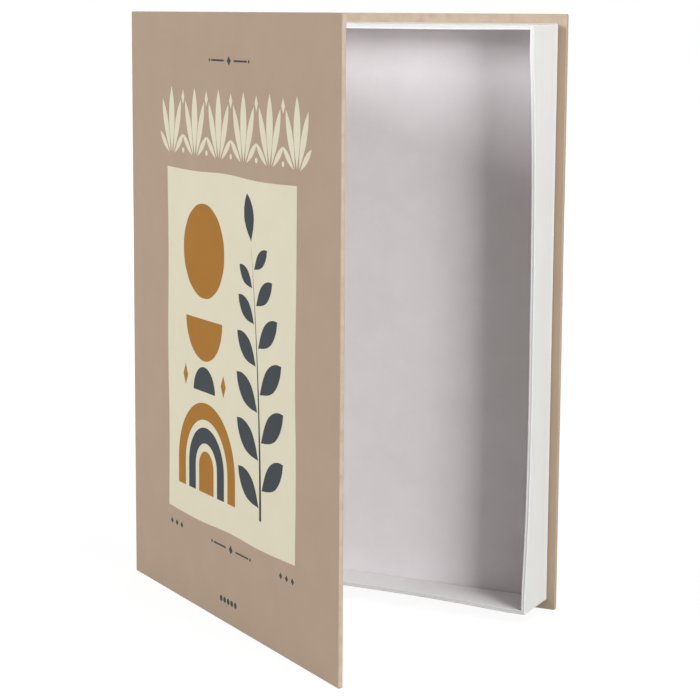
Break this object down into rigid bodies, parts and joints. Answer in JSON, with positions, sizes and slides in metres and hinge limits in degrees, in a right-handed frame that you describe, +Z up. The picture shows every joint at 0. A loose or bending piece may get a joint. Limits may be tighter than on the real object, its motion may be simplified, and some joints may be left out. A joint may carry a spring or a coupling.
{
  "type": "book-shaped storage box",
  "caption": "Hard-cover book case with a shallow paper-wrapped tray glued inside, and a front cover that opens on a paper hinge.",
  "frame": {"origin": "middle of the outline on the standing surface, with the front cover open as pictured", "axes": "+Z up from tail to head, +X from the spine to the fore-edge, -Y from the back cover to the reader"},
  "size_m": [0.229, 0.166, 0.3],
  "materials": {
    "covering_paper": "matt warm tan printed covering paper with a faint mottle",
    "lining_paper": "matt off-white lining paper",
    "page_edge_paper": "smooth white paper printed with fine page lines",
    "tray_floor_paper": "matt white paper with a faint lavender cast",
    "greyboard": "raw grey bookbinder's board",
    "gummed_tape": "brown gummed paper tape",
    "cream_ink": "matt cream ink printed on the covering paper",
    "ochre_ink": "matt ochre ink printed on the covering paper",
    "slate_ink": "matt dark slate ink printed on the covering paper"
  },
  "bodies": {
    "case_and_tray": {"back_cover_wrap": "covering_paper", "back_cover_board": "greyboard", "spine_wrap": "covering_paper", "spine_board": "greyboard", "spine_lining": "lining_paper", "tray_floor_board": "greyboard", "tray_floor_lining": "tray_floor_paper", "tray_fore_edge_wall": "greyboard", "tray_spine_side_wall": "greyboard", "tray_head_wall": "greyboard", "tray_tail_wall": "greyboard", "fore_edge_page_paper": "page_edge_paper", "spine_side_page_paper": "page_edge_paper", "head_page_paper": "page_edge_paper", "tail_page_paper": "page_edge_paper", "head_fore_edge_corner_stay": "gummed_tape", "tail_fore_edge_corner_stay": "gummed_tape", "head_spine_corner_stay": "gummed_tape", "tail_spine_corner_stay": "gummed_tape"},
    "front_cover": {"front_cover_wrap": "covering_paper", "front_cover_board": "greyboard", "front_cover_lining": "lining_paper"}
  },
  "joints": [
    {"name": "front_cover_hinge", "type": "hinge", "parent": "case_and_tray", "child": "front_cover", "pos_m": [-0.1144, 0.04677, 0.15], "axis": [0, 0, -1], "range_deg": [-34.5, 145.5]}
  ]
}
